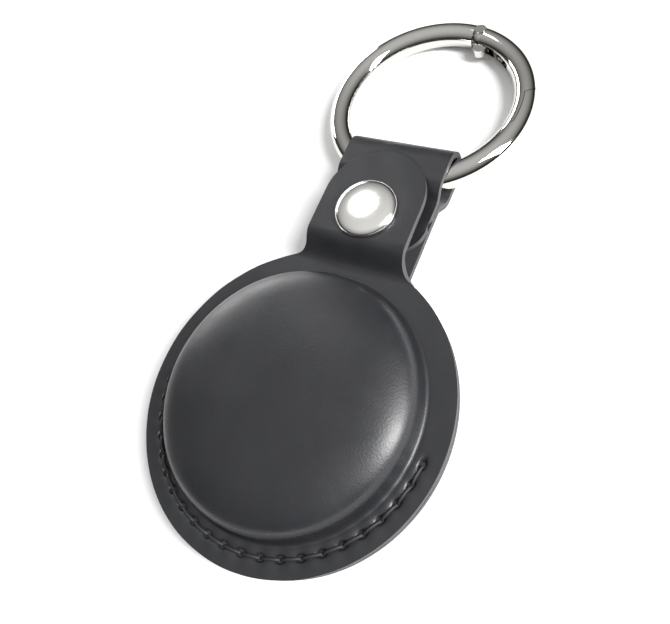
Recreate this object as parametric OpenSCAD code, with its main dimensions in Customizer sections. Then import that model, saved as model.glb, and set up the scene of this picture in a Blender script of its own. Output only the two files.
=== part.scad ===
// Leather holder for a coin-shaped tracker tag, with a snap tab and a spring-gate ring
// Millimetres. +Z is up out of the dome, +Y runs towards the ring.
// The origin is the middle of the flat back, on the surface that the holder lies on.

/* [Case] */
// Radius of the round case
case_r = 22; // [20.5:0.5:26]
// Thickness of each leather panel
leather_t = 1; // [0.8:0.1:1.2]
// Radius of the moulded dome at its shoulder
dome_r = 17.6; // [17:0.1:18]
// Height of the dome's upright wall above the rim
dome_wall = 2.4; // [1.6:0.2:3]
// Height of the dome's crown above its wall
dome_crown = 4; // [3:0.2:5]
// How much wider the dome is at its foot than at its shoulder
dome_flare = 0.8; // [0.6:0.1:1.2]
// Depth of the shallow dome on the back, which the holder lies on
back_bulge = 2.3; // [2:0.1:3]
// Radius of the flat in the middle of the back
back_flat_r = 13; // [9:0.5:15]
// Thickness of the soft lining in the pocket
lining_t = 0.3; // [0.2:0.05:0.5]

/* [Tab and strap] */
// Width of the tab that carries the snap
tab_w = 15.4; // [13:0.2:16]
// Distance from the middle of the case to the tip of the tab
tab_tip_y = 38.4; // [37:0.2:39.5]
// Length of the tab's rounded end
tab_round = 8.2; // [5:0.2:9]
// Distance from the middle of the case to the line that the tab folds on
tab_root_y = 19.6; // [19.2:0.1:20]
// Radius of the inner corners where the tab meets the case
tab_fillet = 2.2; // [1:0.2:3]
// Length of the slope where the tab rises over the snap
tab_rise = 4; // [3:0.1:4.2]
// Width of the strap of the back panel
strap_w = 16.8; // [15:0.2:17]
// Radius of the inner corners where the strap meets the case
strap_fillet = 1.2; // [0.6:0.2:2]
// Distance from the middle of the case to the line where the strap bends
strap_bend_y = 32.4; // [32.2:0.1:33]
// Distance from the middle of the case to the sewn-in end of the strap
strap_end_y = 22.6; // [22:0.2:23.4]
// Length of the rounded end of the strap
strap_end_round = 5.4; // [3:0.2:6]
// Thickness of the leather stretched round the ring
fold_t = 0.9; // [0.7:0.05:1]

/* [Stitches] */
// Number of stitch holes
stitch_n = 22; // [12:1:26]
// Radius of the line of stitches
stitch_r = 19.7; // [19.5:0.1:20.6]
// Direction of the first stitch hole, counted from +X
stitch_from = -170; // [-176:1:-160]
// Direction of the last stitch hole
stitch_to = -6; // [-20:1:-2]
// Radius of the thread
thread_r = 0.25; // [0.2:0.05:0.3]
// Radius of a stitch hole
stitch_hole_r = 0.42; // [0.4:0.02:0.5]
// Depth of the groove that the stitches lie in
stitch_groove = 0.25; // [0.1:0.05:0.35]

/* [Snap] */
// Distance from the middle of the case to the snap
snap_y = 28; // [27.8:0.1:28.4]
// Radius of the snap's cap
cap_r = 4.65; // [4:0.05:4.8]
// Height of the cap above the tab
cap_h = 1.45; // [1.1:0.05:2]
// Space between the tab and the strap when the snap is shut
snap_gap = 1.9; // [1.9:0.05:2.3]
// Radius of the socket under the tab
socket_r = 3.9; // [3.8:0.05:4.2]
// Radius of the stud's head
stud_r = 2.05; // [1.9:0.05:2.1]
// Radius of the stud's flange
stud_flange_r = 3.7; // [3.2:0.05:3.8]
// Radius of the hollow rivet that holds the stud
eyelet_r = 1.25; // [1:0.05:1.3]
// Thickness of the sheet metal of the snap
sheet_t = 0.3; // [0.2:0.05:0.35]

/* [Ring] */
// Radius of the ring to the middle of its wire
ring_r = 14.9; // [14:0.1:15.6]
// Radius of the ring's wire
wire_r = 1.9; // [1.7:0.05:1.95]
// Distance from the middle of the case to the ring's wire where the strap holds it
grip_y = 36.1; // [35.8:0.1:36.6]
// Direction of the gate's hinge from the middle of the ring
hinge_a = 76; // [65:1:90]
// Direction of the end of the gate on the outside
nose_a = 14; // [8:1:18]
// How far the gate's inner lip runs on past that end
lip_l = 4.4; // [2:0.2:5]
// Thickness of the ring's tongue inside the gate
tongue_t = 1.3; // [1:0.1:1.4]
// Radius of the hinge pin
pin_r = 0.6; // [0.4:0.05:0.7]
// Radius of the heads of the hinge pin
pin_head_r = 0.9; // [0.8:0.05:0.95]
// Number of curls in the gate's spring
spring_n = 4; // [3:1:4]

/* [Hidden] */
$fn = 96;

// One overrun for every cut
cut = 1;
// Clearance between fixed pieces, between running pieces, and round the ring in its loop
fixed_gap = 0.05;
run_gap = 0.1;
loop_gap = 0.15;

// Heights of the layers, from the surface up
back_z = back_bulge;
seam_z = back_z + leather_t;
rim_z = seam_z + leather_t;
strap_top_z = rim_z;
tab_under_z = strap_top_z + snap_gap;
tab_top_z = tab_under_z + leather_t;
dome_top_z = rim_z + dome_wall + dome_crown;
edge_chamfer = leather_t / 4;

// Shares of the crown's radius at which its outline has a point, from the middle outwards
crown_shares = [0, 0.15, 0.3, 0.42, 0.53, 0.63, 0.72, 0.8, 0.87, 0.92, 0.96, 0.985, 1];
crown_power = 2.6;
steps = 12;

// The loop round the ring, in side view
fold_in_r = wire_r + loop_gap;
fold_out_r = fold_in_r + fold_t;
fold_z = fold_out_r;
half_w = strap_w / 2;
ring_y = grip_y + ring_r;
fold_y = ring_y - sqrt(pow(ring_r - wire_r, 2) - half_w * half_w) + loop_gap - fold_in_r;
fold_apex = [strap_bend_y + run_gap, seam_z];

// The ring lies in its loop and on the head of its hinge pin
pin_half = wire_r + sheet_t / 2;
pin_reach = ring_r * sin(hinge_a) + pin_head_r;
ring_tilt = asin((fold_z - pin_half) / (ring_r + pin_reach));
ring_z = pin_half + pin_reach * sin(ring_tilt);

// The gate, seen in the plane of the ring
hinge_p = ring_r * [cos(hinge_a), sin(hinge_a)];
nose_p = (ring_r + wire_r / 2) * [cos(nose_a), sin(nose_a)];
nose_d = norm(nose_p - hinge_p);
knuckle_r = wire_r + run_gap;
flat_z = pin_half - sheet_t;
slot_t = tongue_t + 2 * run_gap;
slot_a = 34;
tongue_r = 0.8 * wire_r;
lug_a = -78;
lug_r = 0.6 * wire_r;
lug_d = knuckle_r + 0.35 * lug_r;
arc_start_a = -32;

// The plunger and the spring lie in the gate along a chord that starts at the pin
chord_a = hinge_a - 90 - slot_a / 2;
plunger_r = 0.4 * slot_t;
plunger_from = lug_d + lug_r + run_gap;
plunger_l = 2 * plunger_r;
curl_wire_r = 0.075 * tongue_t;
curl_r = plunger_r - curl_wire_r;
curl_from = plunger_from + plunger_r + plunger_l + curl_wire_r + fixed_gap;
curl_pitch = (2 * ring_r * sin(slot_a / 2) - curl_wire_r - fixed_gap - curl_from) / spring_n;
curl_rings = 8;
curl_sides = 6;

leather = "#2b2b2e";
suede = "#1c1c1e";
thread = "#101012";
nickel = "#c9c9c6";
steel = "#8d8f92";

// Point on a circle
function at(r, a) = [r * cos(a), r * sin(a)];

// Point where a line from p touches the circle of radius r round c, on side s
function touch(p, c, r, s) =
  let(v = c - p, l = norm(v), a = atan2(v.y, v.x) + s * asin(r / l), t = sqrt(l * l - r * r))
  p + at(t, a);

// Outline of a crown of height h over radius r, from the middle outwards, standing at z
function crown(r, h, z) =
  [for (s = crown_shares) [r * s, z + h * sqrt(max(0, 1 - pow(s, crown_power)))]];

// Half outline of a tongue that leaves the case through an inner corner and has an elliptical end
function tongue_side(w, corner, tip, round_l) =
  let(c = [w + corner, sqrt(pow(case_r + corner, 2) - pow(w + corner, 2))],
      a0 = atan2(-c.y, -c.x) + 360)
  concat([for (i = [0:steps]) c + at(corner, a0 + (180 - a0) * i / steps)],
         [for (i = [0:steps]) [w * cos(90 * i / steps), tip - round_l + round_l * sin(90 * i / steps)]]);

function mirrored(side) = [for (i = [len(side) - 1:-1:0]) [-side[i].x, side[i].y]];

// Smooth rise from 0 to 1
function rise(t) = t * t * (3 - 2 * t);

module on_ring() {
  translate([0, ring_y, ring_z]) rotate([-ring_tilt, 0, 0]) children();
}

module wire_arc(a0, a1) {
  rotate([0, 0, a0]) rotate_extrude(angle = a1 - a0) translate([ring_r, 0]) circle(wire_r, $fn = 48);
}

// A bar of length w across the strap whose side view is an outline in y and z
module across(w) {
  rotate([90, 0, 90]) linear_extrude(w, center = true) children();
}

module stitch_places() {
  for (i = [0:stitch_n - 1])
    rotate([0, 0, stitch_from + (stitch_to - stitch_from) * i / (stitch_n - 1)])
      translate([stitch_r, 0, 0]) children();
}

module stitch_holes(z0) {
  stitch_places() translate([0, 0, z0 - cut]) cylinder(h = leather_t + 2 * cut, r = stitch_hole_r);
}

module groove(z) {
  groove_w = 2.4 * stitch_hole_r;
  reach = atan(groove_w / stitch_r);
  rotate([0, 0, stitch_from - reach])
    rotate_extrude(angle = stitch_to - stitch_from + 2 * reach)
      translate([stitch_r - groove_w / 2, z]) square([groove_w, stitch_groove + cut]);
}

module above_root() {
  translate([-case_r, tab_root_y, 0]) cube([2 * case_r, case_r, dome_top_z]);
}

module front_panel() {
  foot_r = dome_r + dome_flare;
  in_r = dome_r - leather_t;
  color(leather) difference() {
    union() {
      difference() {
        rotate_extrude() polygon([[0, seam_z], [case_r, seam_z], [case_r, rim_z - edge_chamfer],
                                  [case_r - edge_chamfer, rim_z], [0, rim_z]]);
        above_root();
      }
      rotate_extrude() polygon(concat([[0, seam_z], [foot_r, seam_z], [foot_r, rim_z],
          [dome_r + dome_flare / 4, rim_z + dome_flare / 2]],
          [for (i = [len(crown_shares) - 1:-1:0]) crown(dome_r, dome_crown, rim_z + dome_wall)[i]]));
    }
    rotate_extrude() polygon(concat([[0, seam_z - cut], [in_r, seam_z - cut]],
        [for (i = [len(crown_shares) - 1:-1:0]) crown(in_r, dome_crown, seam_z + dome_wall)[i]]));
    stitch_holes(seam_z);
    groove(rim_z - stitch_groove);
  }
}

// The tab in side view: it rises from the case over the closed snap
module tab_profile() {
  low = [for (i = [0:steps]) [tab_root_y + tab_rise * i / steps,
                              seam_z + (tab_under_z - seam_z) * rise(i / steps)]];
  high = [for (i = [steps:-1:0]) [tab_root_y + tab_rise * i / steps,
                                  rim_z + (tab_top_z - rim_z) * rise(i / steps)]];
  polygon(concat(low, [[tab_tip_y + cut, tab_under_z], [tab_tip_y + cut, tab_top_z]], high));
}

module front_tab() {
  side = tongue_side(tab_w / 2, tab_fillet, tab_tip_y, tab_round);
  root_w = sqrt(case_r * case_r - tab_root_y * tab_root_y);
  outline = concat([[root_w, tab_root_y]], side, mirrored(side), [[-root_w, tab_root_y]]);
  color(leather) difference() {
    intersection() {
      across(2 * case_r) tab_profile();
      linear_extrude(dome_top_z) polygon(outline);
    }
    translate([0, snap_y, 0]) cylinder(h = dome_top_z, r = eyelet_r);
  }
}

module back_panel() {
  side = tongue_side(half_w, strap_fillet, strap_bend_y, 0);
  in_r = dome_r - leather_t;
  slope = dome_r - back_flat_r;
  inner_flat_r = back_flat_r - leather_t / 2;
  color(leather) difference() {
    union() {
      rotate_extrude() polygon([[0, back_z], [case_r - edge_chamfer, back_z],
                                [case_r, back_z + edge_chamfer], [case_r, seam_z], [0, seam_z]]);
      translate([0, 0, back_z]) linear_extrude(leather_t)
        polygon(concat([[case_r / 2, 0]], side, mirrored(side), [[-case_r / 2, 0]]));
      rotate_extrude() polygon(concat([[0, seam_z], [dome_r, seam_z], [dome_r, back_z]],
          [for (i = [1:steps]) [dome_r - slope * i / steps, back_z * (1 - rise(i / steps))]], [[0, 0]]));
    }
    rotate_extrude() polygon(concat([[0, seam_z + cut], [in_r, seam_z + cut], [in_r, seam_z]],
        [for (i = [1:steps]) [in_r - (in_r - inner_flat_r) * i / steps,
                              leather_t + back_z * (1 - rise(i / steps))]], [[0, leather_t]]));
    stitch_holes(back_z);
    translate([0, 0, back_z + leather_t]) mirror([0, 0, 1]) groove(leather_t - stitch_groove);
    translate([0, snap_y, 0]) cylinder(h = dome_top_z, r = eyelet_r + run_gap);
  }
}

// Side view of the room inside the loop, or of its outside, with the given radius and starting points
module loop_outline(r, low, high) {
  g = [grip_y, fold_z];
  polygon([low, touch(low, g, r, -1), [grip_y, fold_z - r], [fold_y, fold_z - r],
           [fold_y, fold_z + r], [grip_y, fold_z + r], touch(high, g, r, 1), high]);
}

module loop_ends(w, r) {
  for (y = [grip_y, fold_y])
    translate([0, y, fold_z]) rotate([0, 90, 0]) cylinder(h = w, r = r, center = true);
}

module strap_loop() {
  color(leather) difference() {
    union() {
      across(strap_w) loop_outline(fold_out_r, [strap_bend_y, back_z], [strap_bend_y, strap_top_z]);
      loop_ends(strap_w, fold_out_r);
    }
    across(strap_w + 2 * cut) loop_outline(fold_in_r, fold_apex, fold_apex);
    loop_ends(strap_w + 2 * cut, fold_in_r);
  }
}

module strap_end() {
  ends = [for (i = [0:steps]) [half_w * cos(90 * i / steps),
                               strap_end_y + strap_end_round * (1 - sin(90 * i / steps))]];
  color(leather) difference() {
    translate([0, 0, seam_z]) linear_extrude(leather_t)
      polygon(concat([[half_w, strap_bend_y]], ends, mirrored(ends), [[-half_w, strap_bend_y]]));
    translate([0, snap_y, 0]) cylinder(h = dome_top_z, r = eyelet_r + run_gap);
  }
}

module front_lining() {
  out_r = dome_r - leather_t - fixed_gap;
  in_r = out_r - lining_t;
  color(suede) difference() {
    rotate_extrude() polygon(concat([[0, seam_z + fixed_gap], [out_r, seam_z + fixed_gap]],
        [for (i = [len(crown_shares) - 1:-1:0])
          crown(out_r, dome_crown - fixed_gap, seam_z + dome_wall)[i]]));
    rotate_extrude() polygon(concat([[0, seam_z - cut], [in_r, seam_z - cut]],
        [for (i = [len(crown_shares) - 1:-1:0])
          crown(in_r, dome_crown - fixed_gap - lining_t, seam_z + dome_wall)[i]]));
  }
}

module back_lining() {
  color(suede) translate([0, 0, leather_t + fixed_gap])
    cylinder(h = lining_t, r = back_flat_r - leather_t);
}

// One run of thread through the stitch holes, lying on the face at height z and turned by side s
module thread_run(z, s) {
  step_a = (stitch_to - stitch_from) / (stitch_n - 1);
  lie_z = z - s * (stitch_groove - thread_r - fixed_gap);
  chord = 2 * stitch_r * sin(step_a / 2);
  leg_z = lie_z + s * (thread_r + fixed_gap / 2);
  color(thread) {
    for (i = [0:stitch_n - 2])
      rotate([0, 0, stitch_from + step_a * (i + 0.5)])
        translate([stitch_r * cos(step_a / 2), 0, lie_z])
          rotate([90, 0, 0]) cylinder(h = chord, r = thread_r, center = true, $fn = 24);
    stitch_places() translate([0, 0, min(leg_z, seam_z + s * fixed_gap)])
      cylinder(h = abs(leg_z - seam_z - s * fixed_gap), r = 1.2 * thread_r, $fn = 24);
  }
}

module needle_thread() {
  thread_run(rim_z, 1);
}

module bobbin_thread() {
  thread_run(back_z, -1);
}

// Half section of a domed disc with a rolled rim
function cap_outline(r, h) =
  let(points = [[0.94, 0], [1, 0.22], [0.985, 0.42], [0.93, 0.62], [0.84, 0.77], [0.7, 0.89],
                [0.5, 0.96], [0.25, 0.99], [0, 1]])
  concat([[0, tab_top_z]], [for (p = points) [r * p.x, tab_top_z + h * p.y]]);

module at_snap() {
  translate([0, snap_y, 0]) children();
}

// The cap: a hollow dome with a rolled rim, and a post that is opened out under the socket's plate
module snap_cap() {
  post_r = eyelet_r - run_gap;
  clench_z = tab_under_z - 1.5 * sheet_t;
  color(nickel) at_snap() difference() {
    union() {
      difference() {
        rotate_extrude() polygon(cap_outline(cap_r, cap_h));
        rotate_extrude() polygon(cap_outline(cap_r - sheet_t, cap_h - sheet_t));
        translate([0, 0, tab_top_z - cut]) cylinder(h = cut + sheet_t, r = cap_r - 3 * sheet_t);
      }
      translate([0, 0, clench_z]) cylinder(h = tab_top_z + cap_h - sheet_t / 2 - clench_z, r = post_r);
      translate([0, 0, clench_z]) cylinder(h = sheet_t / 2, r = post_r + sheet_t);
    }
    translate([0, 0, clench_z - cut])
      cylinder(h = tab_top_z + cap_h - 2 * sheet_t - clench_z + cut, r = post_r - sheet_t);
  }
}

module snap_socket() {
  low_z = strap_top_z + sheet_t + loop_gap;
  mouth_r = stud_r + sheet_t;
  in_r = socket_r - 1.5 * sheet_t;
  color(nickel) at_snap() difference() {
    translate([0, 0, low_z]) cylinder(h = tab_under_z - low_z, r = socket_r);
    translate([0, 0, low_z - cut]) cylinder(h = cut * 2, r = mouth_r);
    translate([0, 0, low_z + sheet_t]) cylinder(h = tab_under_z - low_z - 2 * sheet_t, r = in_r);
    translate([0, 0, low_z]) cylinder(h = dome_top_z, r = eyelet_r);
  }
}

// Two straight legs of wire grip the stud's neck, joined by a bow behind it
module socket_spring() {
  wire = sheet_t / 2;
  leg_x = stud_r - sheet_t + wire + fixed_gap;
  bow_r = socket_r - 1.5 * sheet_t - wire - run_gap;
  leg_a = acos(leg_x / bow_r);
  wire_z = strap_top_z + 2 * sheet_t + loop_gap + wire + fixed_gap;
  color(steel) at_snap() translate([0, 0, wire_z]) {
    for (s = [-1, 1])
      translate([s * leg_x, 0, 0]) rotate([90, 0, 0])
        cylinder(h = 2 * bow_r * sin(leg_a), r = wire, center = true, $fn = 24);
    rotate([0, 0, leg_a]) rotate_extrude(angle = 180 - 2 * leg_a)
      translate([bow_r, 0]) circle(wire, $fn = 24);
  }
}

module snap_stud() {
  neck_r = stud_r - sheet_t;
  h = snap_gap - sheet_t - fixed_gap;
  z = strap_top_z;
  color(nickel) at_snap() difference() {
    rotate_extrude() polygon([[0, z], [stud_flange_r, z], [stud_flange_r, z + sheet_t],
        [neck_r, z + sheet_t], [neck_r, z + 0.72 * h], [stud_r, z + 0.79 * h], [stud_r, z + 0.84 * h],
        [0.8 * stud_r, z + 0.89 * h], [0.5 * stud_r, z + h - sheet_t / 2], [0, z + h - sheet_t / 2]]);
    translate([0, 0, z - cut]) cylinder(h = cut + 0.68 * h, r = eyelet_r + fixed_gap);
  }
}

module stud_eyelet() {
  h = snap_gap - sheet_t - fixed_gap;
  color(nickel) at_snap() difference() {
    union() {
      translate([0, 0, back_z - sheet_t]) cylinder(h = sheet_t, r = stud_flange_r);
      translate([0, 0, back_z - sheet_t])
        cylinder(h = strap_top_z + 0.6 * h - back_z + sheet_t, r = eyelet_r);
    }
    translate([0, 0, back_z - sheet_t - cut])
      cylinder(h = strap_top_z + 0.6 * h - back_z + cut, r = eyelet_r - sheet_t);
  }
}

// The ring's tongue: it leaves the wire, goes round the pin and ends in a lug inside the ring
module tongue() {
  root_l = knuckle_r + lug_r;
  root_w = 0.7 * wire_r;
  translate([hinge_p.x, hinge_p.y, 0]) linear_extrude(tongue_t, center = true) {
    circle(tongue_r);
    rotate(lug_a) translate([0, -lug_r]) square([lug_d, 2 * lug_r]);
    rotate(lug_a) translate([lug_d, 0]) circle(lug_r);
    rotate(hinge_a + 90 + asin(root_l / ring_r) / 2) translate([0, -root_w])
      square([root_l, 2 * root_w]);
  }
}

// The stretch of the ring that the gate takes up, for cutting
module gate_stretch() {
  linear_extrude(3 * wire_r, center = true)
    polygon([[0, 0], for (i = [0:4]) at(2 * ring_r, arc_start_a + (hinge_a - arc_start_a) * i / 4)]);
}

module ring_body() {
  color(nickel) on_ring() difference() {
    union() {
      difference() {
        wire_arc(hinge_a + 2, 360 + nose_a + slot_a / 3);
        translate([hinge_p.x, hinge_p.y, 0]) rotate(hinge_a - 90) sphere(knuckle_r + run_gap);
        intersection() {
          gate_stretch();
          translate([hinge_p.x, hinge_p.y, 0])
            cylinder(h = 4 * wire_r, r = nose_d + run_gap, center = true);
        }
        intersection() {
          gate_stretch();
          cylinder(h = 4 * wire_r, r = ring_r, center = true);
          translate([hinge_p.x, hinge_p.y, 0])
            cylinder(h = 4 * wire_r, r = nose_d + lip_l + run_gap, center = true);
        }
      }
      tongue();
    }
    translate([hinge_p.x, hinge_p.y, 0]) cylinder(h = 3 * wire_r, r = pin_r + fixed_gap, center = true);
  }
}

module ring_gate() {
  color(nickel) on_ring() difference() {
    union() {
      wire_arc(arc_start_a, hinge_a);
      translate([hinge_p.x, hinge_p.y, 0]) sphere(knuckle_r);
    }
    translate([hinge_p.x, hinge_p.y, 0]) {
      difference() {
        cylinder(h = 3 * wire_r, r = 3 * ring_r, center = true);
        cylinder(h = 4 * wire_r, r = nose_d + lip_l, center = true);
      }
      cylinder(h = slot_t, r = knuckle_r + loop_gap, center = true);
      cylinder(h = 3 * wire_r, r = pin_r, center = true);
      for (s = [0, 1]) mirror([0, 0, s])
        translate([0, 0, flat_z]) cylinder(h = wire_r, r = pin_head_r + run_gap);
    }
    difference() {
      cylinder(h = 3 * wire_r, r = 2 * ring_r, center = true);
      cylinder(h = 4 * wire_r, r = ring_r - run_gap, center = true);
      translate([hinge_p.x, hinge_p.y, 0]) cylinder(h = 4 * wire_r, r = nose_d, center = true);
    }
    rotate([0, 0, hinge_a - slot_a]) rotate_extrude(angle = slot_a)
      translate([ring_r - 2 * wire_r, -slot_t / 2]) square([2.5 * wire_r, slot_t]);
  }
}

module gate_pin() {
  color(steel) on_ring() translate([hinge_p.x, hinge_p.y, 0]) {
    cylinder(h = 2 * flat_z, r = pin_r, center = true);
    for (s = [0, 1]) mirror([0, 0, s])
      translate([0, 0, flat_z]) cylinder(h = sheet_t, r = pin_head_r);
  }
}

module along_chord(d) {
  on_ring() translate([hinge_p.x, hinge_p.y, 0]) rotate([0, 0, chord_a])
    translate([d, 0, 0]) rotate([0, 90, 0]) children();
}

module gate_plunger() {
  color(steel) along_chord(plunger_from + plunger_r) {
    sphere(plunger_r, $fn = 32);
    cylinder(h = plunger_l, r = plunger_r, $fn = 32);
  }
}

// One unbroken helix, swept ring by ring
module gate_spring() {
  n = spring_n * curl_rings;
  lean = atan(curl_pitch / (2 * PI * curl_r));
  points = [for (i = [0:n]) let(a = 360 * i / curl_rings, z = curl_pitch * i / curl_rings)
    for (k = [0:curl_sides - 1])
      let(b = 360 * k / curl_sides, u = curl_wire_r * cos(b), v = curl_wire_r * sin(b))
      [(curl_r + u) * cos(a) + v * sin(a) * sin(lean),
       (curl_r + u) * sin(a) - v * cos(a) * sin(lean), z + v * cos(lean)]];
  sides = [for (i = [0:n - 1]) for (k = [0:curl_sides - 1])
    let(a = i * curl_sides + k, b = i * curl_sides + (k + 1) % curl_sides)
    for (t = [[a, b, b + curl_sides], [a, b + curl_sides, a + curl_sides]]) t];
  start = [for (k = [1:curl_sides - 2]) [0, k + 1, k]];
  last = n * curl_sides;
  end = [for (k = [1:curl_sides - 2]) [last, last + k, last + k + 1]];
  color(steel) along_chord(curl_from)
    polyhedron(points, [for (f = concat(sides, start, end)) [f[0], f[2], f[1]]]);
}

echo(least_curl_gap = curl_pitch * cos(atan(curl_pitch / (2 * PI * curl_r))) - 2 * curl_wire_r);
echo(fold_y = fold_y, ring_tilt = ring_tilt, ring_z = ring_z, hinge_p = hinge_p, nose_d = nose_d);

front_panel();
front_tab();
back_panel();
strap_loop();
strap_end();
front_lining();
back_lining();
needle_thread();
bobbin_thread();
snap_cap();
snap_socket();
socket_spring();
snap_stud();
stud_eyelet();
ring_body();
ring_gate();
gate_pin();
gate_plunger();
gate_spring();
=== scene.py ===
import math

import bpy
import numpy as np
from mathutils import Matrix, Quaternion, Vector


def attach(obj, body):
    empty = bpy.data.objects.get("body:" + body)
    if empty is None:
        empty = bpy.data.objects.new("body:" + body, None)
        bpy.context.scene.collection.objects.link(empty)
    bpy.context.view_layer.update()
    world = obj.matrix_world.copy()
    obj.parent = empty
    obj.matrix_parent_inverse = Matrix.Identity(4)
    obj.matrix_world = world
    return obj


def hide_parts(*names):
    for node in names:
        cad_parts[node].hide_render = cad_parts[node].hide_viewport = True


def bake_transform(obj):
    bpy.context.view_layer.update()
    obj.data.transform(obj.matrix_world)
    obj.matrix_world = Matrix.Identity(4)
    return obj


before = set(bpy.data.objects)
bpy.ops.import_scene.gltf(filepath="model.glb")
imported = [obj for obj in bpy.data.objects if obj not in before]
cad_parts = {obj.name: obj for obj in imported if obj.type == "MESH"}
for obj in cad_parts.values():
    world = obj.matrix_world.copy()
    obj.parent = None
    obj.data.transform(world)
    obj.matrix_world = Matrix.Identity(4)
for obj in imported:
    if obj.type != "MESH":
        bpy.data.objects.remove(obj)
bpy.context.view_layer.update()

bl_info = {
    "name": "Tag Holder",
    "version": (1, 0, 0),
    "blender": (4, 5, 0),
    "location": "View3D > Sidebar > Tag Holder",
    "description": "Leather, stitches, snap and ring of a round tag holder, dressed over its packed frame",
    "category": "Add Mesh",
}

MM = 0.001

# Heights of the leather layers, in millimetres above the surface that the holder lies on
BACK_Z = 2.3
SEAM_Z = 3.3
RIM_Z = 4.3
TAB_TOP_Z = 7.2

# The tab in millimetres: its fold, its slope, its inner corners, its rounded end, and half the width
# round it in which the leather rises
TAB_ROOT_Y = 19.6
TAB_RISE = 4.0
TAB_CORNER = 2.2
TAB_ROUND = 8.2
TAB_ZONE = 10.5
SNAP_Y = 28.0

# The strap in millimetres: its inner corners, where it bends, where its end lies flat again,
# and the sewn-in end itself
STRAP_CORNER = 1.2
STRAP_BEND_Y = 32.4
STRAP_FLAT_Y = 31.0
STRAP_END_Y = 22.6
STRAP_END_ROUND = 5.4

# The loop round the ring in millimetres: radius of its outer face, and where it starts to fold
LOOP_R = 2.95
LOOP_FOLD_Y = 39.18

# The back in millimetres: radius of its flat, width of the slope round it, and where the rim starts
BACK_FLAT_R = 13.0
BACK_SLOPE = 4.6
BACK_RIM_R = 18.2

# Share of its thickness that the back leather keeps where it is stretched round the ring
STRETCHED = 0.9

# Power of the crown's outline, where 2 would be an ellipse
CROWN_POWER = 2.6

# The linings in millimetres: their thickness and the gap to the leather
LINING_T = 0.3
LINING_GAP = 0.06

# The stitches in millimetres: how deep they lie under the leather's face, and the rise of their arch
STITCH_SINK = 0.13
STITCH_ARCH = 0.14

# Fineness of the noise textures, in cells per metre
PATCH_SCALE = 140.0
CREASE_SCALE = 330.0
NAP_SCALE = 5200.0
FIBRE_SCALE = 6500.0
SMUDGE_SCALE = 260.0
WEAR_SCALE = 900.0

# Half the width of the floor, in metres
FLOOR = 3.0

# The photo's camera, fitted to the case and the ring. In pixels: the photo's width, its middle, the
# focal length and the place that the camera points at. Then the sensor's width in mm.
PHOTO_W = 670.0
PHOTO_MIDDLE = (335.0, 312.0)
FOCAL = 620.0
MIDDLE = (385.0, 300.0)
SENSOR = 36.0
CAMERA_AT = (39.70 * MM, -7.92 * MM, 77.91 * MM)
CAMERA_TURN = (0.954182, 0.182295, 0.173677, 0.161681)


# ---- Sizes and finishes that a user may change

def length(name, text, value, low, high):
    return bpy.props.FloatProperty(name=name, description=text + " in mm", default=value, min=low, max=high)


def part(name, text, value):
    return bpy.props.FloatProperty(name=name, description=text, subtype="FACTOR",
                                   default=value, min=0.0, max=1.0)


def paint(name, text, *value):
    return bpy.props.FloatVectorProperty(name=name, description=text, subtype="COLOR", size=4,
                                         min=0.0, max=1.0, default=value + (1.0,))


class LeatherSizes(bpy.types.PropertyGroup):
    case_r: length("Case radius", "Radius of the round case", 22.0, 20.5, 26.0)
    leather_t: length("Leather", "Thickness of the leather", 1.0, 0.6, 1.2)
    dome_r: length("Dome radius", "Radius of the dome at its shoulder", 17.6, 16.0, 18.0)
    dome_wall: length("Dome wall", "Height of the dome's upright wall", 2.4, 1.0, 3.0)
    dome_crown: length("Dome crown", "Height of the crown above the wall", 4.0, 2.0, 5.0)
    tab_w: length("Tab width", "Width of the snap tab", 15.4, 12.0, 16.0)
    tab_tip: length("Tab tip", "Distance from the middle to the tab's tip", 38.4, 36.0, 39.5)
    strap_w: length("Strap width", "Width of the ring's strap", 16.8, 14.0, 17.2)
    edge: length("Edge rounding", "Rounding of the cut edges", 0.2, 0.05, 0.4)
    colour: paint("Leather colour", "Colour of the grain side", 0.0095, 0.0098, 0.0115)
    edge_colour: paint("Edge colour", "Colour of the cut edges", 0.035, 0.035, 0.037)
    suede_colour: paint("Suede colour", "Colour of the flesh side and the linings", 0.012, 0.012, 0.013)
    roughness: part("Roughness", "Roughness of the grain side", 0.40)
    grain: length("Grain size", "Width of one grain cell", 0.26, 0.1, 2.0)


class StitchSizes(bpy.types.PropertyGroup):
    count: bpy.props.IntProperty(name="Holes", description="Number of holes", default=22, min=4, max=40)
    line_r: length("Line radius", "Radius of the line of stitches", 19.7, 19.0, 21.0)
    start: bpy.props.FloatProperty(name="From", description="Degrees from +X to the first hole", default=-170.0)
    end: bpy.props.FloatProperty(name="To", description="Degrees from +X to the last hole", default=-6.0)
    thread_r: length("Thread radius", "Radius of the thread", 0.22, 0.1, 0.4)
    hole_r: length("Hole radius", "Radius of a stitch hole", 0.5, 0.2, 0.6)
    colour: paint("Thread colour", "Colour of the thread", 0.012, 0.012, 0.013)


class MetalFinish(bpy.types.PropertyGroup):
    chrome: paint("Ring colour", "Colour of the plated ring", 0.60, 0.59, 0.56)
    nickel: paint("Snap colour", "Colour of the plated snap", 0.92, 0.91, 0.88)
    ring_roughness: part("Ring roughness", "Roughness of the ring", 0.07)
    snap_roughness: part("Snap roughness", "Roughness of the snap", 0.16)
    cap_r: length("Cap radius", "Radius of the snap's cap", 4.65, 4.0, 5.0)
    cap_h: length("Cap height", "Height of the cap above the tab", 1.45, 1.0, 2.0)


# ---- Materials

def new_material(name):
    mat = bpy.data.materials.get(name)
    if mat:
        return mat, None
    mat = bpy.data.materials.new(name)
    mat.use_nodes = True
    return mat, mat.node_tree


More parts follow.
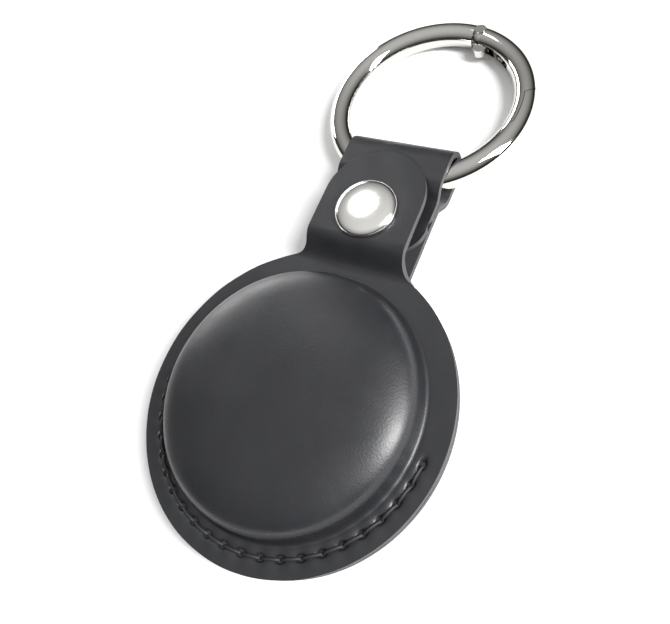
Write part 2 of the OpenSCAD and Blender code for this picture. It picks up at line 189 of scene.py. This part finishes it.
def node(tree, kind, inputs=None, **settings):
    """A node of that kind, with its settings, its inputs' values and its links."""
    made = tree.nodes.new(kind)
    for key, value in settings.items():
        setattr(made, key, value)
    for key, value in (inputs or {}).items():
        if isinstance(value, bpy.types.NodeSocket):
            tree.links.new(value, made.inputs[key])
        else:
            made.inputs[key].default_value = value
    return made


def shader(tree):
    return tree.nodes["Principled BSDF"]


def ramp(tree, value, low, high, at=(0.0, 1.0)):
    made = node(tree, "ShaderNodeMapRange", {"Value": value, "From Min": at[0], "From Max": at[1],
                                             "To Min": low, "To Max": high})
    return made.outputs["Result"]


def noise(tree, place, scale, detail, **more):
    settings = {"Vector": place, "Scale": scale, "Detail": detail, **more}
    return node(tree, "ShaderNodeTexNoise", settings).outputs["Fac"]


def mix(tree, factor, a, b):
    return node(tree, "ShaderNodeMix", {"Factor": factor, "A": a, "B": b}, data_type="RGBA").outputs["Result"]


def bump(tree, height, strength, depth, under=None):
    """The normal of a bump with that depth in mm, on top of another normal where one is given."""
    settings = {"Height": height, "Strength": strength, "Distance": depth * MM}
    if under is not None:
        settings["Normal"] = under
    return node(tree, "ShaderNodeBump", settings).outputs["Normal"]


def leather_material(s, name="black_leather", cut=False):
    mat, tree = new_material(name)
    if tree is None:
        return mat
    out = shader(tree)
    place = node(tree, "ShaderNodeTexCoord").outputs["Object"]
    cells = 1.0 / (s.grain * MM)
    patches = noise(tree, place, PATCH_SCALE, 4.0, Roughness=0.6)
    grain = node(tree, "ShaderNodeTexVoronoi", {"Vector": place, "Scale": cells, "Smoothness": 0.35},
                 feature="SMOOTH_F1")
    pores = noise(tree, place, cells * 2.3, 3.0)
    turned = node(tree, "ShaderNodeMapping", {"Vector": place, "Rotation": (0.0, 0.0, math.radians(38)),
                                              "Scale": (1.0, 3.2, 1.0)})
    creases = noise(tree, turned.outputs["Vector"], CREASE_SCALE, 5.0, Roughness=0.62, Distortion=0.6)

    base = tuple(s.edge_colour if cut else s.colour)
    light = tuple(min(1.0, c * 1.5) for c in base[:3]) + (1.0,)
    # Painted shade: the colour goes nearly black in the stitch holes, where shade falls in the dents
    hole_shade = node(tree, "ShaderNodeAttribute", attribute_name="hole").outputs["Fac"]
    tint = mix(tree, patches, base, light)
    tree.links.new(mix(tree, hole_shade, tint, (0.0015, 0.0015, 0.0015, 1.0)), out.inputs["Base Color"])
    rough = s.roughness + (0.2 if cut else 0.0)
    tree.links.new(ramp(tree, patches, rough - 0.07, rough + 0.07, (0.3, 0.7)), out.inputs["Roughness"])

    skin = bump(tree, pores, 0.2, 0.02)
    skin = bump(tree, grain.outputs["Distance"], 0.3, 0.03, skin)
    tree.links.new(bump(tree, creases, 0.2, 0.06, skin), out.inputs["Normal"])
    return mat


def suede_material(s):
    mat, tree = new_material("black_suede")
    if tree is None:
        return mat
    out = shader(tree)
    place = node(tree, "ShaderNodeTexCoord").outputs["Object"]
    nap = noise(tree, place, NAP_SCALE, 4.0, Roughness=0.7)
    tree.links.new(ramp(tree, nap, 0.85, 1.0), out.inputs["Roughness"])
    tree.links.new(bump(tree, nap, 0.6, 0.06), out.inputs["Normal"])
    out.inputs["Base Color"].default_value = tuple(s.suede_colour)
    out.inputs["Sheen Weight"].default_value = 0.15
    return mat


def thread_material(s):
    mat, tree = new_material("black_thread")
    if tree is None:
        return mat
    out = shader(tree)
    place = node(tree, "ShaderNodeTexCoord").outputs["Object"]
    fibre = noise(tree, place, FIBRE_SCALE, 3.0)
    tree.links.new(ramp(tree, fibre, 0.5, 0.8), out.inputs["Roughness"])
    tree.links.new(bump(tree, fibre, 0.7, 0.05), out.inputs["Normal"])
    out.inputs["Base Color"].default_value = tuple(s.colour)
    return mat


def metal_material(name, colour, roughness, scratch):
    mat, tree = new_material(name)
    if tree is None:
        return mat
    out = shader(tree)
    place = node(tree, "ShaderNodeTexCoord").outputs["Object"]
    smudge = noise(tree, place, SMUDGE_SCALE, 5.0, Roughness=0.6)
    rough = ramp(tree, smudge, roughness * 0.7, roughness * 1.35, (0.3, 0.7))
    tree.links.new(rough, out.inputs["Roughness"])
    wear = noise(tree, place, WEAR_SCALE, 2.0)
    tree.links.new(bump(tree, wear, scratch, 0.02), out.inputs["Normal"])
    out.inputs["Base Color"].default_value = tuple(colour)
    out.inputs["Metallic"].default_value = 1.0
    return mat


# ---- Leather sheets, in millimetres

def directions(extra=()):
    """Directions of the columns, in degrees from +Y: close together over the tab and the stitches."""
    tab = np.linspace(0.0, 26.0, 53)
    side = np.linspace(26.0, 96.0, 51)[1:]
    sewn = np.linspace(96.0, 180.0, 121)[1:]
    half = np.unique(np.concatenate([tab, side, sewn, np.array(extra)]))
    return np.concatenate([half, 360.0 - half[-2:0:-1]])


def folded(phi):
    """The angle from +Y, without its side."""
    return np.minimum(phi, 360.0 - phi)


def reach(phi, case_r, half_w, corner, tip, round_l):
    """Distance from the middle to the outline of the case and its tongue, in the directions phi."""
    a = np.radians(folded(phi))
    sin, cos = np.sin(a), np.cos(a)
    centre = np.array([half_w + corner, math.sqrt((case_r + corner) ** 2 - (half_w + corner) ** 2)])
    along = sin * centre[0] + cos * centre[1]
    fillet = along - np.sqrt(np.maximum(0.0, along ** 2 - centre @ centre + corner ** 2))
    side = half_w / np.maximum(sin, 1e-6)
    if round_l:
        yc = tip - round_l
        qa = (sin / half_w) ** 2 + (cos / round_l) ** 2
        qb = -2 * cos * yc / round_l ** 2
        qc = (yc / round_l) ** 2 - 1
        end = (-qb + np.sqrt(np.maximum(0.0, qb * qb - 4 * qa * qc))) / (2 * qa)
        tongue = np.where(side * cos <= yc, side, end)
    else:
        tongue = np.minimum(side, tip / np.maximum(cos, 1e-6))
    out = np.where(a > math.atan2(half_w, centre[1]), fillet, tongue)
    return np.where(a > math.atan2(centre[0], centre[1]), case_r, out)


def rise(t):
    """Smooth rise from 0 to 1."""
    t = np.clip(t, 0.0, 1.0)
    return t * t * (3 - 2 * t)


def spline(points, per):
    """Points on a smooth curve through the given points, that many from each to the next."""
    p = np.array(points, float)
    p = np.vstack([2 * p[0] - p[1], p, 2 * p[-1] - p[-2]])
    out = []
    for a, b, c, d in zip(p, p[1:], p[2:], p[3:]):
        for t in np.arange(per) / per:
            out.append(0.5 * (2 * b + (c - a) * t + (2 * a - 5 * b + 4 * c - d) * t * t
                              + (3 * b - a - 3 * c + d) * t ** 3))
    out.append(p[-2])
    return np.array(out)


def pressed(xyz, st, side):
    """Sinks the stitch line and its holes into a sheet, and puckers the leather between them. Returns the
    holes' mask, which also paints shade into the holes through the leather's colour.
    """
    r, a = np.hypot(xyz[..., 0], xyz[..., 1]), np.arctan2(xyz[..., 1], xyz[..., 0])
    angles = np.radians(np.linspace(st.start, st.end, st.count))
    step = (angles[-1] - angles[0]) / (st.count - 1)
    place = (a - angles[0]) / step
    nearest = np.clip(np.round(place), 0, st.count - 1)
    off = np.hypot((a - angles[0] - nearest * step) * r * 0.8, r - st.line_r)
    fade, groove_w, pucker_w = 0.6, 0.55, 1.3
    sewn = rise((place + fade) / fade) * rise((st.count - 1 + fade - place) / fade)
    hole = np.clip(1.25 - off / st.hole_r, 0.0, 1.0)
    hole = rise(hole) * (place > -1.5) * (place < st.count + 0.5)
    groove = np.exp(-((r - st.line_r) / groove_w) ** 2) * sewn
    pucker = np.exp(-((r - st.line_r) / pucker_w) ** 2) * sewn * np.cos(2 * math.pi * place)
    xyz[..., 2] -= side * (0.5 * hole + 0.2 * groove + 0.07 * pucker)
    return hole


def sheet(name, rows, hole, columns=(), more=None):
    """A one-sided mesh of rows round a middle point. More rows may go on from some columns of the last."""
    count = rows.shape[1]
    verts = rows.reshape(-1, 3)[count - 1:]
    values = hole.reshape(-1)[count - 1:]
    faces = [(0, 1 + j, 1 + (j + 1) % count) for j in range(count)]
    for i in range(rows.shape[0] - 2):
        a, b = 1 + i * count, 1 + (i + 1) * count
        faces += [(a + j, b + j, b + (j + 1) % count, a + (j + 1) % count) for j in range(count)]
    if more is not None:
        base = len(verts)
        line = [base - count + j for j in columns]
        verts = np.vstack([verts, more.reshape(-1, 3)])
        values = np.concatenate([values, np.zeros(more.shape[0] * more.shape[1])])
        for i in range(more.shape[0]):
            here = [base + i * len(columns) + k for k in range(len(columns))]
            faces += [(line[k], here[k], here[k + 1], line[k + 1]) for k in range(len(columns) - 1)]
            line = here
    mesh = bpy.data.meshes.new(name)
    mesh.from_pydata([tuple(v * MM) for v in verts], [], faces)
    # The holes' mask, which paints shade into the stitch holes through the leather's colour
    mesh.attributes.new("hole", "FLOAT", "POINT").data.foreach_set("value", values.astype(np.float32))
    obj = bpy.data.objects.new(name, mesh)
    bpy.context.scene.collection.objects.link(obj)
    return obj


def plain_mesh(obj):
    """Applies the modifiers and shades the mesh smooth."""
    bpy.context.view_layer.update()
    done = bpy.data.meshes.new_from_object(obj.evaluated_get(bpy.context.evaluated_depsgraph_get()))
    old = obj.data
    obj.modifiers.clear()
    obj.data = done
    done.name = old.name
    bpy.data.meshes.remove(old)
    obj.data.shade_smooth()
    return obj


def thickened(obj, s, share=1.0):
    """Gives a sheet its thickness behind the grain side, and rounds its cut edges."""
    solid = obj.modifiers.new("Leather", "SOLIDIFY")
    solid.thickness = s.leather_t * share * MM
    solid.offset = -1.0
    solid.use_even_offset = True
    solid.use_rim = True
    solid.material_offset = 2
    solid.material_offset_rim = 1
    bevel = obj.modifiers.new("Edges", "BEVEL")
    bevel.width = s.edge * MM
    bevel.segments = 3
    bevel.limit_method = "ANGLE"
    bevel.angle_limit = math.radians(50)
    for mat in (leather_material(s), leather_material(s, "cut_edge", True), suede_material(s)):
        obj.data.materials.append(mat)
    return plain_mesh(obj)


def dome_section(s):
    """Half section of the dome, from its crown out to the rim."""
    top = RIM_Z + s.dome_wall
    crown = [(s.dome_r * q, top + s.dome_crown * math.sqrt(1 - q ** CROWN_POWER))
             for q in np.linspace(0.0, 0.97, 26)]
    foot = [(0.08, 1.4), (0.26, 0.6), (0.5, 0.15), (0.8, 0.0), (1.1, 0.0)]
    wall = [crown[-1], (s.dome_r, top - 0.1)] + [(s.dome_r + out, RIM_Z + up) for out, up in foot]
    return np.vstack([np.array(crown[:-1]), spline(wall, 4)])


def turned_rows(section, rim_z, out, phi, steps):
    """Rows of a section that is turned round the middle and then runs flat to the outline."""
    a = np.radians(90.0 + phi)
    flat = section[-1, 0]
    radii = [np.full(len(phi), r) for r in section[:, 0]]
    radii += [flat + (out - flat) * t for t in np.linspace(0, 1, steps)[1:]]
    heights = list(section[:, 1]) + [rim_z] * (steps - 1)
    rows = [np.stack([r * np.cos(a), r * np.sin(a), np.full(len(phi), z)], axis=-1)
            for r, z in zip(radii, heights)]
    return np.array(rows)


class HOLDER_OT_front_leather(bpy.types.Operator):
    """Makes the front panel with its dome and its snap tab"""
    bl_idname = "holder.front_leather"
    bl_label = "Front Leather"

    def execute(self, context):
        s, st = context.scene.holder_leather, context.scene.holder_stitches
        phi = directions()
        out = reach(phi, s.case_r, s.tab_w / 2, TAB_CORNER, s.tab_tip, TAB_ROUND)
        rows = turned_rows(dome_section(s), RIM_Z, out, phi, 45)
        x, y = rows[..., 0], rows[..., 1]
        raised = rise((y - TAB_ROOT_Y) / TAB_RISE) * (TAB_TOP_Z - RIM_Z)
        droop = rise((y - 30.0) / 9.0) * 0.12
        rim_wave = 0.03 * np.sin(x * 0.9 + y * 0.5) * np.clip((np.hypot(x, y) - 19.0) / 3.0, 0, 1)
        slow_wave = 0.04 * np.sin(x * 0.31 - y * 0.23 + 1.0)
        rows[..., 2] += np.where(np.abs(x) < TAB_ZONE, raised - droop, 0.0) + rim_wave + slow_wave
        rows[0] = rows[0].mean(axis=0)
        hole = pressed(rows, st, 1)
        obj = thickened(sheet("front_leather", rows, hole), s)
        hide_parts("front_panel", "front_tab")
        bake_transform(obj)
        return {"FINISHED"}


def loop_path():
    """Side view of the strap's outer face from where it bends, round the ring and back to its end."""
    fold, top = LOOP_FOLD_Y, 2 * LOOP_R
    low = spline([(STRAP_BEND_Y, BACK_Z), (33.2, 1.52), (34.25, 0.58), (35.35, 0.08), (36.3, 0.0),
                  (38.0, 0.0), (fold, 0.0)], 5)
    a = np.radians(np.linspace(-90, 90, 25))[1:-1]
    bow = np.stack([fold + LOOP_R * np.cos(a), LOOP_R + LOOP_R * np.sin(a)], axis=-1)
    high = spline([(fold, top), (38.0, top), (36.4, top), (35.2, 5.8), (34.0, 5.2), (33.1, 4.55),
                   (32.2, RIM_Z), (STRAP_FLAT_Y, RIM_Z)], 5)
    return np.vstack([low[1:], bow, high])


class HOLDER_OT_back_leather(bpy.types.Operator):
    """Makes the back panel, its strap and the loop round the ring, as one piece of leather"""
    bl_idname = "holder.back_leather"
    bl_label = "Back Leather"

    def execute(self, context):
        s, st = context.scene.holder_leather, context.scene.holder_stitches
        half_w = s.strap_w / 2
        corner = math.degrees(math.atan2(half_w, STRAP_BEND_Y))
        phi = directions([corner])
        out = reach(phi, s.case_r, half_w, STRAP_CORNER, STRAP_BEND_Y, 0)
        flat = [(r, 0.0) for r in np.linspace(0.0, BACK_FLAT_R, 8)]
        slope = [(BACK_FLAT_R + BACK_SLOPE * t, BACK_Z * float(rise(t))) for t in np.linspace(0, 1, 15)[1:]]
        rows = turned_rows(np.array(flat + slope + [(BACK_RIM_R, BACK_Z)]), BACK_Z, out, phi, 31)
        rows[0] = rows[0].mean(axis=0)
        hole = pressed(rows, st, -1)

        near = [j for j in range(len(phi)) if folded(phi[j]) <= corner + 1e-6]
        columns = [j for j in near if phi[j] > 180] + [j for j in near if phi[j] < 180]
        x = rows[-1, columns, 0]
        end = STRAP_END_Y + STRAP_END_ROUND * (1 - np.sqrt(np.maximum(0.0, 1 - (x / half_w) ** 2)))
        more = [np.stack([x, np.full(len(x), y), np.full(len(x), z)], axis=-1) for y, z in loop_path()]
        for t in np.linspace(0, 1, 25)[1:]:
            z = np.full(len(x), RIM_Z) + 0.06 * np.sin(t * 5) * (1 - t)
            more.append(np.stack([x, STRAP_FLAT_Y + (end - STRAP_FLAT_Y) * t, z], axis=-1))
        obj = sheet("back_leather", rows, hole, columns, np.array(more))
        obj.data.flip_normals()
        obj = thickened(obj, s, STRETCHED)
        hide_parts("back_panel", "strap_loop", "strap_end")
        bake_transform(obj)
        return {"FINISHED"}


# ---- Turned pieces

def lathe(name, points, mats, centre=(0.0, 0.0), sides=128):
    """A closed skin turned about an upright axis through centre, from points of radius and height in mm."""
    a = np.linspace(0, 2 * math.pi, sides, endpoint=False)
    verts, rings, faces = [], [], []
    for r, z in points:
        if r < 1e-6:
            rings.append([len(verts)] * sides)
            verts.append((centre[0] * MM, centre[1] * MM, z * MM))
        else:
            rings.append(list(range(len(verts), len(verts) + sides)))
            verts += [((centre[0] + r * math.cos(t)) * MM, (centre[1] + r * math.sin(t)) * MM, z * MM)
                      for t in a]
    for low, high in zip(rings, rings[1:]):
        for j in range(sides):
            k = (j + 1) % sides
            face = list(dict.fromkeys((low[j], high[j], high[k], low[k])))
            if len(face) > 2:
                faces.append(face)
    mesh = bpy.data.meshes.new(name)
    mesh.from_pydata(verts, [], faces)
    mesh.shade_smooth()
    for mat in mats:
        mesh.materials.append(mat)
    obj = bpy.data.objects.new(name, mesh)
    bpy.context.scene.collection.objects.link(obj)
    return obj


class HOLDER_OT_linings(bpy.types.Operator):
    """Makes the suede linings inside the pocket"""
    bl_idname = "holder.linings"
    bl_label = "Linings"

    def execute(self, context):
        s = context.scene.holder_leather
        top, low = SEAM_Z + s.dome_wall, SEAM_Z + 0.05

        def shell(inset):
            r, h = s.dome_r - s.leather_t - inset, s.dome_crown - inset
            return [(r * q, top + h * math.sqrt(max(0.0, 1 - q ** CROWN_POWER)))
                    for q in np.linspace(0, 1, 24)] + [(r, low)]

        skin = shell(LINING_GAP) + shell(LINING_GAP + LINING_T)[::-1]
        front = lathe("front_lining_skin", skin, [suede_material(s)], sides=96)
        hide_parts("front_lining")
        disc = [(0, 1.35), (11.8, 1.35), (11.98, 1.3), (12.0, 1.2), (12.0, 1.05), (0, 1.05)]
        back = lathe("back_lining_skin", disc, [suede_material(s)], sides=96)
        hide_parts("back_lining")
        for piece in (front, back):
            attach(piece, "case")
        return {"FINISHED"}


# ---- Stitches

def stitch_tree(mat):
    """Arched stitches from hole to hole along an arc."""
    tree = bpy.data.node_groups.new("stitch_line", "GeometryNodeTree")
    face = tree.interface
    face.new_socket("Geometry", in_out="INPUT", socket_type="NodeSocketGeometry")
    face.new_socket("Holes", in_out="INPUT", socket_type="NodeSocketInt")
    for name in ("Line Radius", "From", "To", "Thread Radius", "Height", "Arch"):
        face.new_socket(name, in_out="INPUT", socket_type="NodeSocketFloat")
    face.new_socket("Geometry", in_out="OUTPUT", socket_type="NodeSocketGeometry")
    inp = node(tree, "NodeGroupInput").outputs

    def calc(op, a, b=None):
        inputs = {k: v for k, v in enumerate((a, b)) if v is not None}
        return node(tree, "ShaderNodeMath", inputs, operation=op).outputs[0]

    def point(**axes):
        return node(tree, "ShaderNodeCombineXYZ", axes).outputs[0]

    count = calc("SUBTRACT", inp["Holes"], 1.0)
    step = calc("DIVIDE", calc("SUBTRACT", inp["To"], inp["From"]), count)
    index = node(tree, "GeometryNodeInputIndex").outputs[0]
    turn = calc("ADD", inp["From"], calc("MULTIPLY", step, calc("ADD", index, 0.5)))
    spot = point(X=calc("MULTIPLY", inp["Line Radius"], calc("COSINE", turn)),
                 Y=calc("MULTIPLY", inp["Line Radius"], calc("SINE", turn)), Z=inp["Height"])
    points = node(tree, "GeometryNodePoints", {"Count": count}).outputs[0]
    placed = node(tree, "GeometryNodeSetPosition", {"Geometry": points, "Position": spot}).outputs[0]

    half = calc("MULTIPLY", inp["Line Radius"], calc("SINE", calc("MULTIPLY", step, 0.47)))
    low, high = calc("MULTIPLY", inp["Arch"], -2.6), calc("MULTIPLY", inp["Arch"], 1.9)
    bow = node(tree, "GeometryNodeCurvePrimitiveBezierSegment", {
        "Resolution": 14,
        "Start": point(X=calc("MULTIPLY", half, -1.0), Z=low),
        "Start Handle": point(X=calc("MULTIPLY", half, -0.62), Z=high),
        "End Handle": point(X=calc("MULTIPLY", half, 0.62), Z=high),
        "End": point(X=half, Z=low)}).outputs[0]
    ring = node(tree, "GeometryNodeCurvePrimitiveCircle",
                {"Resolution": 12, "Radius": inp["Thread Radius"]}).outputs[0]
    one = node(tree, "GeometryNodeCurveToMesh",
               {"Curve": bow, "Profile Curve": ring, "Fill Caps": True}).outputs[0]
    spin = point(Z=calc("ADD", turn, math.pi / 2))
    row = node(tree, "GeometryNodeInstanceOnPoints",
               {"Points": placed, "Instance": one, "Rotation": spin}).outputs[0]
    real = node(tree, "GeometryNodeRealizeInstances", {"Geometry": row}).outputs[0]
    smooth = node(tree, "GeometryNodeSetShadeSmooth", {"Geometry": real}).outputs[0]
    dressed = node(tree, "GeometryNodeSetMaterial", {"Geometry": smooth, "Material": mat}).outputs[0]
    node(tree, "NodeGroupOutput", {"Geometry": dressed})
    return tree


class HOLDER_OT_stitches(bpy.types.Operator):
    """Sews the rim with a row of stitches in front and behind"""
    bl_idname = "holder.stitches"
    bl_label = "Stitches"

    def execute(self, context):
        st = context.scene.holder_stitches
        tree = stitch_tree(thread_material(st))
        names = {k.name: k.identifier for k in tree.interface.items_tree if k.in_out == "INPUT"}
        lines = (("needle_stitches", RIM_Z - STITCH_SINK, STITCH_ARCH, "needle_thread"),
                 ("bobbin_stitches", BACK_Z + STITCH_SINK, -STITCH_ARCH, "bobbin_thread"))
        for name, height, arch, stands_for in lines:
            obj = bpy.data.objects.new(name, bpy.data.meshes.new(name))
            context.scene.collection.objects.link(obj)
            mod = obj.modifiers.new("Stitches", "NODES")
            mod.node_group = tree
            values = {"Holes": st.count, "Line Radius": st.line_r * MM, "From": math.radians(st.start),
                      "To": math.radians(st.end), "Thread Radius": st.thread_r * MM,
                      "Height": height * MM, "Arch": arch * MM}
            for key, value in values.items():
                mod[names[key]] = value
            plain_mesh(obj)
            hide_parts(stands_for)
            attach(obj, "case")
        return {"FINISHED"}


# ---- Metal

def dress(names, mat):
    for name in names:
        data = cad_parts[name].data
        data.materials.clear()
        data.materials.append(mat)


class HOLDER_OT_snap(bpy.types.Operator):
    """Makes the snap's cap and plates the socket, the stud and the rivet"""
    bl_idname = "holder.snap"
    bl_label = "Snap"

    def execute(self, context):
        m = context.scene.holder_metal
        plate = metal_material("plated_nickel", m.nickel, m.snap_roughness, 0.12)
        r, h, z = m.cap_r, m.cap_h, TAB_TOP_Z
        dome = [(0.0, 1.0), (0.25, 0.995), (0.5, 0.965), (0.7, 0.9), (0.84, 0.78), (0.93, 0.61),
                (0.985, 0.41), (1.0, 0.22), (0.985, 0.07)]
        curl = [(r * 0.95, z + 0.01), (r * 0.9, z + 0.03), (r * 0.87, z + h * 0.12), (r * 0.86, z + h * 0.3)]
        outside = spline([(r * u, z + h * v) for u, v in dome] + curl, 5)
        inside = [(r * 0.8, z + h * 0.5), (r * 0.6, z + h * 0.66), (r * 0.3, z + h * 0.72)]
        post = [(1.15, z + h * 0.74), (1.14, z - 1.45), (1.45, z - 1.45), (1.45, z - 1.3), (0.95, z - 1.3),
                (0.85, z - 1.2), (0.85, z + h * 0.6), (0.0, z + h * 0.6)]
        section = [tuple(p) for p in outside] + inside + post
        cap = lathe("cap_shell", section, [plate], (0.0, SNAP_Y))
        cap.data.flip_normals()
        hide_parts("snap_cap")
        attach(cap, "tab")
        dress(["snap_socket", "snap_stud", "stud_eyelet"], plate)
        wire = metal_material("spring_steel_wire", (0.5, 0.5, 0.51, 1.0), 0.25, 0.1)
        dress(["socket_spring"], wire)
        return {"FINISHED"}


class HOLDER_OT_ring(bpy.types.Operator):
    """Plates the ring, its gate and its pin"""
    bl_idname = "holder.ring"
    bl_label = "Ring"

    def execute(self, context):
        m = context.scene.holder_metal
        chrome = metal_material("polished_chrome", m.chrome, m.ring_roughness, 0.05)
        dress(["ring_body", "ring_gate", "gate_pin"], chrome)
        coil = metal_material("spring_steel_coil", (0.42, 0.42, 0.43, 1.0), 0.3, 0.1)
        dress(["gate_plunger", "gate_spring"], coil)
        return {"FINISHED"}


# ---- Stage

def area_light(name, place, aim, size, power):
    data = bpy.data.lights.new(name, "AREA")
    data.shape = "RECTANGLE"
    data.size, data.size_y = size
    data.energy = power
    obj = bpy.data.objects.new(name, data)
    obj.location = place
    obj.rotation_euler = (Vector(place) - Vector(aim)).to_track_quat("Z", "Y").to_euler()
    bpy.context.scene.collection.objects.link(obj)


def studio_world():
    """White for the camera; for light and mirrors a tent that is dark at the sides and pale overhead."""
    world = bpy.data.worlds.new("studio")
    world.use_nodes = True
    sky = world.node_tree
    way = node(sky, "ShaderNodeTexCoord").outputs["Generated"]
    height = node(sky, "ShaderNodeSeparateXYZ", {0: way}).outputs["Z"]
    tent = ramp(sky, height, 0.04, 0.74, (0.25, 0.95))
    camera_ray = node(sky, "ShaderNodeLightPath").outputs["Is Camera Ray"]
    seen = node(sky, "ShaderNodeMath", {0: tent, 1: camera_ray}, operation="MAXIMUM").outputs[0]
    back = sky.nodes["Background"]
    sky.links.new(seen, back.inputs["Color"])
    back.inputs["Strength"].default_value = 1.0
    return world


def photo_camera():
    data = bpy.data.cameras.new("camera")
    data.sensor_width = SENSOR
    data.lens = FOCAL / PHOTO_W * SENSOR
    data.shift_x = (PHOTO_MIDDLE[0] - MIDDLE[0]) / PHOTO_W
    data.shift_y = (MIDDLE[1] - PHOTO_MIDDLE[1]) / PHOTO_W
    data.clip_start, data.clip_end = 0.005, 20.0
    cam = bpy.data.objects.new("camera", data)
    cam.location = CAMERA_AT
    cam.rotation_mode = "QUATERNION"
    cam.rotation_quaternion = Quaternion(CAMERA_TURN)
    bpy.context.scene.collection.objects.link(cam)
    return cam


class HOLDER_OT_stage(bpy.types.Operator):
    """Makes the floor, the lights and the camera"""
    bl_idname = "holder.stage"
    bl_label = "Stage"

    def execute(self, context):
        scene = context.scene
        mat, tree = new_material("pale_floor")
        out = shader(tree)
        out.inputs["Base Color"].default_value = (0.86, 0.86, 0.86, 1.0)
        out.inputs["Roughness"].default_value = 0.8
        out.inputs["Specular IOR Level"].default_value = 0.2
        mesh = bpy.data.meshes.new("floor")
        corners = [(-FLOOR, -FLOOR, 0), (FLOOR, -FLOOR, 0), (FLOOR, FLOOR, 0), (-FLOOR, FLOOR, 0)]
        mesh.from_pydata(corners, [], [(0, 1, 2, 3)])
        mesh.materials.append(mat)
        floor = bpy.data.objects.new("floor", mesh)
        scene.collection.objects.link(floor)

        scene.world = studio_world()
        area_light("key", (0.32, 0.04, 0.24), (0, 0.02, 0), (0.10, 0.30), 4.2)
        area_light("spark", (-0.159, 0.172, 0.286), (0, 0.028, 0.009), (0.05, 0.03), 0.07)
        area_light("far_left", (-0.34, 0.22, 0.08), (0, 0.02, 0), (0.3, 0.08), 0.9)
        scene.camera = photo_camera()
        scene.view_settings.view_transform = "Standard"
        return {"FINISHED"}


class HOLDER_PT_panel(bpy.types.Panel):
    """Lists the holder's pieces and finishes"""
    bl_idname = "HOLDER_PT_panel"
    bl_label = "Tag Holder"
    bl_space_type = "VIEW_3D"
    bl_region_type = "UI"
    bl_category = "Tag Holder"

    def draw(self, context):
        layout = self.layout
        for group in ("holder_leather", "holder_stitches", "holder_metal"):
            box = layout.box()
            data = getattr(context.scene, group)
            for key in data.bl_rna.properties.keys():
                if key not in ("rna_type", "name"):
                    box.prop(data, key)
        for step in STEPS:
            layout.operator("holder." + step)


STEPS = ("stage", "front_leather", "back_leather", "linings", "stitches", "snap", "ring")
CLASSES = (LeatherSizes, StitchSizes, MetalFinish, HOLDER_OT_front_leather, HOLDER_OT_back_leather,
           HOLDER_OT_linings, HOLDER_OT_stitches, HOLDER_OT_snap, HOLDER_OT_ring, HOLDER_OT_stage,
           HOLDER_PT_panel)


def register():
    for cls in CLASSES:
        bpy.utils.register_class(cls)
    bpy.types.Scene.holder_leather = bpy.props.PointerProperty(type=LeatherSizes)
    bpy.types.Scene.holder_stitches = bpy.props.PointerProperty(type=StitchSizes)
    bpy.types.Scene.holder_metal = bpy.props.PointerProperty(type=MetalFinish)


def unregister():
    del bpy.types.Scene.holder_leather, bpy.types.Scene.holder_stitches, bpy.types.Scene.holder_metal
    for cls in reversed(CLASSES):
        bpy.utils.unregister_class(cls)


def main():
    register()
    for step in STEPS:
        getattr(bpy.ops.holder, step)()


if __name__ == "__main__":
    main()
